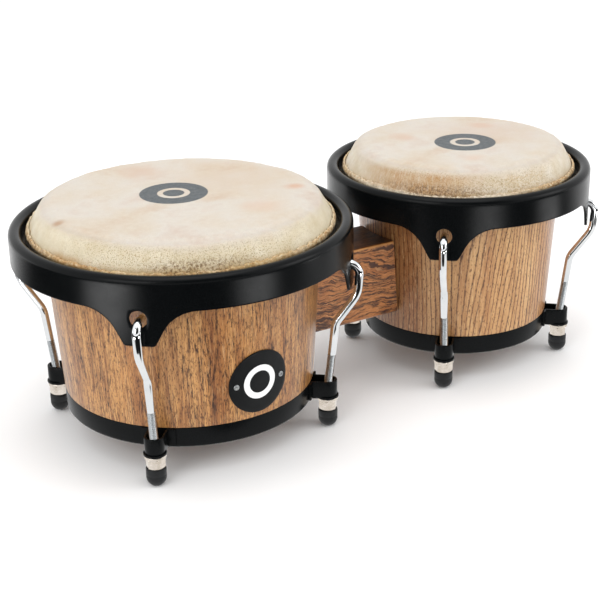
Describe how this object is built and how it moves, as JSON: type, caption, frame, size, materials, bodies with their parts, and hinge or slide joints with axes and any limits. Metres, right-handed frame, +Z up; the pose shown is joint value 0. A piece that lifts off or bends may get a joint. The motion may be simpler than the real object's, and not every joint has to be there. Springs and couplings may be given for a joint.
{
  "type": "bongo drums",
  "caption": "Pair of tunable wooden bongo drums joined by a centre block, with animal-skin heads, black steel rims, chrome tuning hooks and rubber feet.",
  "frame": {"origin": "centre of the bounding box on the floor, under the four-footed pair of drums", "axes": "+Z up, +X from the large drum to the small drum along the centre block, -Y the player-facing side with the badge"},
  "size_m": [0.4628, 0.24, 0.1716],
  "materials": {
    "black_powder_coat": "satin black powder coat",
    "lug_black": "satin black powder coat",
    "chrome": "polished chrome plate, dull threads",
    "nickel": "satin nickel plate",
    "zinc_steel": "zinc plated steel",
    "hoop_steel": "bare drawn steel",
    "large_shell_wood": "clear satin lacquer, vertical grain",
    "small_shell_wood": "clear satin lacquer, dark vertical grain lines",
    "block_wood": "clear satin lacquer, grain across",
    "rawhide": "natural animal skin, speckled towards the edge",
    "foot_rubber": "matt black rubber",
    "badge_black": "satin black plate",
    "nail_silver": "nickel plated"
  },
  "bodies": {
    "frame": {"centre_block": "block_wood", "badge": "badge_black", "badge_nails": "nail_silver", "large_shell": "large_shell_wood", "large_bottom_ring": "black_powder_coat", "large_lug_washers": "nickel", "large_block_bolts": "zinc_steel", "large_block_washers": "zinc_steel", "large_lug_1": "lug_black", "large_lug_2": "lug_black", "large_lug_3": "lug_black", "large_lug_4": "lug_black", "small_shell": "small_shell_wood", "small_bottom_ring": "black_powder_coat", "small_lug_washers": "nickel", "small_block_bolts": "zinc_steel", "small_block_washers": "zinc_steel", "small_lug_1": "lug_black", "small_lug_2": "lug_black", "small_lug_3": "lug_black", "small_lug_4": "lug_black"},
    "large_head": {"large_rim": "black_powder_coat", "large_flesh_hoop": "hoop_steel", "large_head_skin": "rawhide", "large_hook_1": "chrome", "large_hook_2": "chrome", "large_hook_3": "chrome", "large_hook_4": "chrome"},
    "large_nut_1": {"large_tuning_nut_1": "nickel", "large_foot_cap_1": "foot_rubber"},
    "large_nut_2": {"large_tuning_nut_2": "nickel", "large_foot_cap_2": "foot_rubber"},
    "large_nut_3": {"large_tuning_nut_3": "nickel", "large_foot_cap_3": "foot_rubber"},
    "large_nut_4": {"large_tuning_nut_4": "nickel", "large_foot_cap_4": "foot_rubber"},
    "small_head": {"small_rim": "black_powder_coat", "small_flesh_hoop": "hoop_steel", "small_head_skin": "rawhide", "small_hook_1": "chrome", "small_hook_2": "chrome", "small_hook_3": "chrome", "small_hook_4": "chrome"},
    "small_nut_1": {"small_tuning_nut_1": "nickel", "small_foot_cap_1": "foot_rubber"},
    "small_nut_2": {"small_tuning_nut_2": "nickel", "small_foot_cap_2": "foot_rubber"},
    "small_nut_3": {"small_tuning_nut_3": "nickel", "small_foot_cap_3": "foot_rubber"},
    "small_nut_4": {"small_tuning_nut_4": "nickel", "small_foot_cap_4": "foot_rubber"}
  },
  "joints": [
    {"name": "large_nut_1_turn", "type": "hinge", "parent": "frame", "child": "large_nut_1", "pos_m": [-0.04503, 0.07684, 0.015], "axis": [0, 0, 1], "range_deg": [-1081, 1441]},
    {"name": "large_nut_2_turn", "type": "hinge", "parent": "frame", "child": "large_nut_2", "pos_m": [-0.18818, 0.06632, 0.015], "axis": [0, 0, 1], "range_deg": [-1081, 1441]},
    {"name": "large_nut_3_turn", "type": "hinge", "parent": "frame", "child": "large_nut_3", "pos_m": [-0.17767, -0.07684, 0.015], "axis": [0, 0, 1], "range_deg": [-1081, 1441]},
    {"name": "large_nut_4_turn", "type": "hinge", "parent": "frame", "child": "large_nut_4", "pos_m": [-0.03451, -0.06632, 0.015], "axis": [0, 0, 1], "range_deg": [-1081, 1441]},
    {"name": "large_head_tension", "type": "slide", "parent": "frame", "child": "large_head", "axis": [0, 0, -1], "range_m": [-0.003, 0.004], "deforming": ["large_head_skin"]},
    {"name": "small_nut_1_turn", "type": "hinge", "parent": "frame", "child": "small_nut_1", "pos_m": [0.18565, 0.06166, 0.015], "axis": [0, 0, 1], "range_deg": [-1081, 1441]},
    {"name": "small_nut_2_turn", "type": "hinge", "parent": "frame", "child": "small_nut_2", "pos_m": [0.06769, 0.0563, 0.015], "axis": [0, 0, 1], "range_deg": [-1081, 1441]},
    {"name": "small_nut_3_turn", "type": "hinge", "parent": "frame", "child": "small_nut_3", "pos_m": [0.07305, -0.06166, 0.015], "axis": [0, 0, 1], "range_deg": [-1081, 1441]},
    {"name": "small_nut_4_turn", "type": "hinge", "parent": "frame", "child": "small_nut_4", "pos_m": [0.19101, -0.0563, 0.015], "axis": [0, 0, 1], "range_deg": [-1081, 1441]},
    {"name": "small_head_tension", "type": "slide", "parent": "frame", "child": "small_head", "axis": [0, 0, -1], "range_m": [-0.003, 0.004], "deforming": ["small_head_skin"]}
  ],
  "couplings": [
    {"joint": "large_nut_1_turn", "follows": "large_head_tension", "rad_per_m": 6283.2},
    {"joint": "large_nut_2_turn", "follows": "large_head_tension", "rad_per_m": 6283.2},
    {"joint": "large_nut_3_turn", "follows": "large_head_tension", "rad_per_m": 6283.2},
    {"joint": "large_nut_4_turn", "follows": "large_head_tension", "rad_per_m": 6283.2},
    {"joint": "small_nut_1_turn", "follows": "small_head_tension", "rad_per_m": 6283.2},
    {"joint": "small_nut_2_turn", "follows": "small_head_tension", "rad_per_m": 6283.2},
    {"joint": "small_nut_3_turn", "follows": "small_head_tension", "rad_per_m": 6283.2},
    {"joint": "small_nut_4_turn", "follows": "small_head_tension", "rad_per_m": 6283.2}
  ]
}
